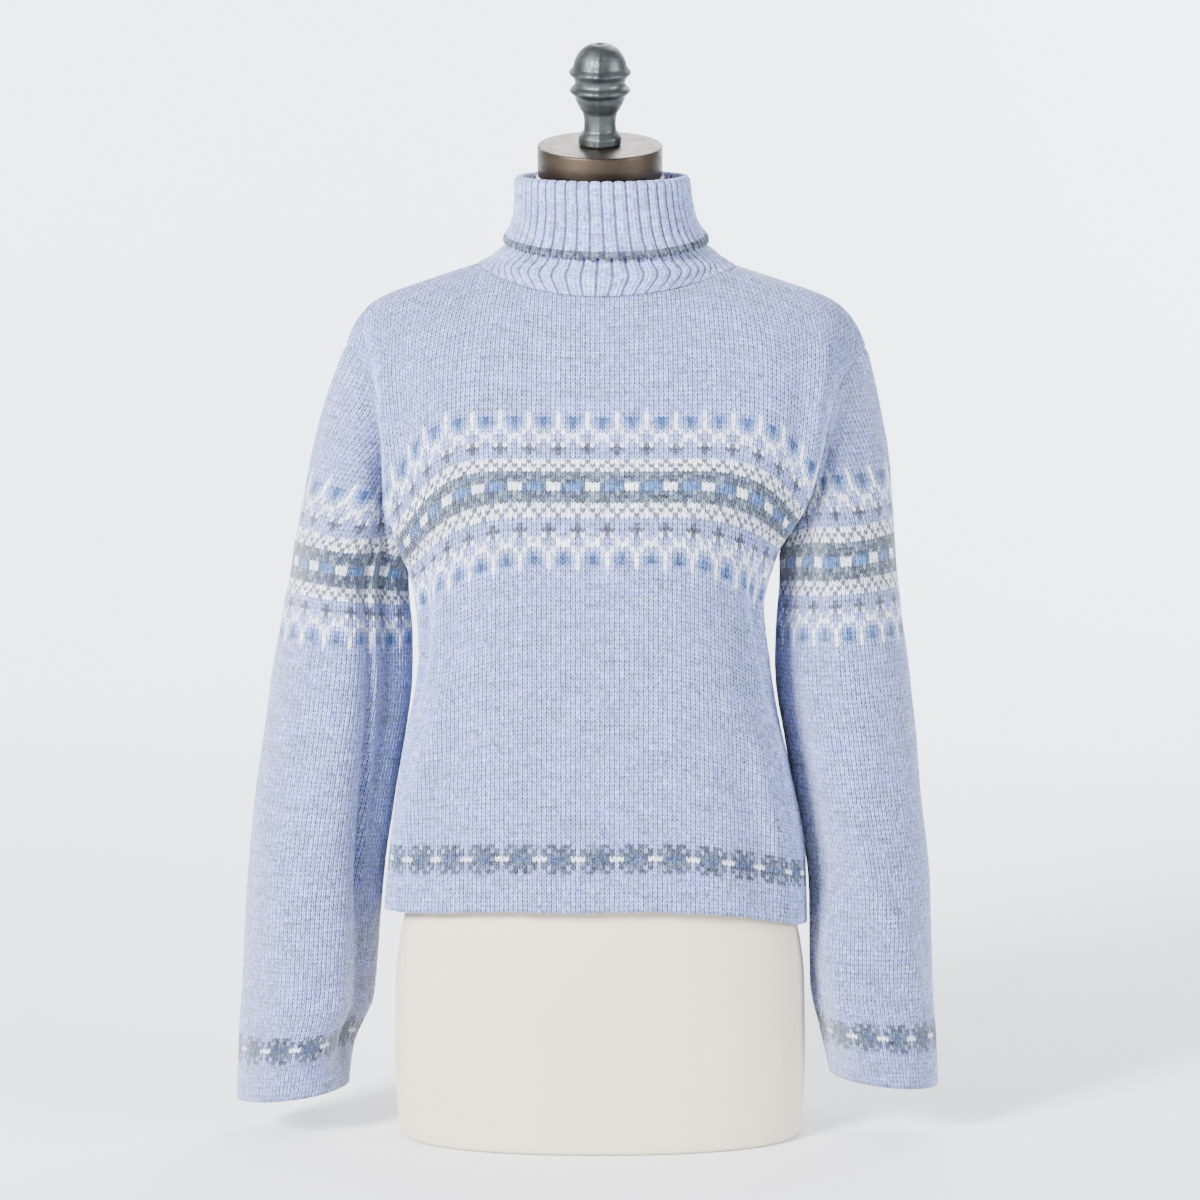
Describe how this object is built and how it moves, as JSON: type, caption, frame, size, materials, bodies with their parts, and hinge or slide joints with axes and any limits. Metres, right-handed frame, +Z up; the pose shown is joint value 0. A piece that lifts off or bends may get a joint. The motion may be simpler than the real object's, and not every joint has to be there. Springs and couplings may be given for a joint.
{
  "type": "knitted turtleneck sweater on a dress form",
  "caption": "Knitted turtleneck sweater with patterned bands on its chest, sleeves, hem and cuffs, worn by a limbless dress form with a neck cap and finial.",
  "frame": {"origin": "middle of the flat base of the dress form", "axes": "+Z up, -Y towards the front of the garment, +X to the right in front view"},
  "size_m": [0.581, 0.2359, 0.8948],
  "materials": {
    "knit": "soft brushed wool knit, lavender-blue heather",
    "form_cloth": "tight plain beige cloth cover",
    "bronze": "dark brown brushed metal",
    "cast_metal": "dull dark grey casting"
  },
  "bodies": {
    "root": {"front": "knit", "back": "knit", "sleeve_left": "knit", "sleeve_right": "knit", "collar": "knit", "form_torso": "form_cloth", "neck_cap": "bronze", "finial": "cast_metal"}
  },
  "joints": []
}
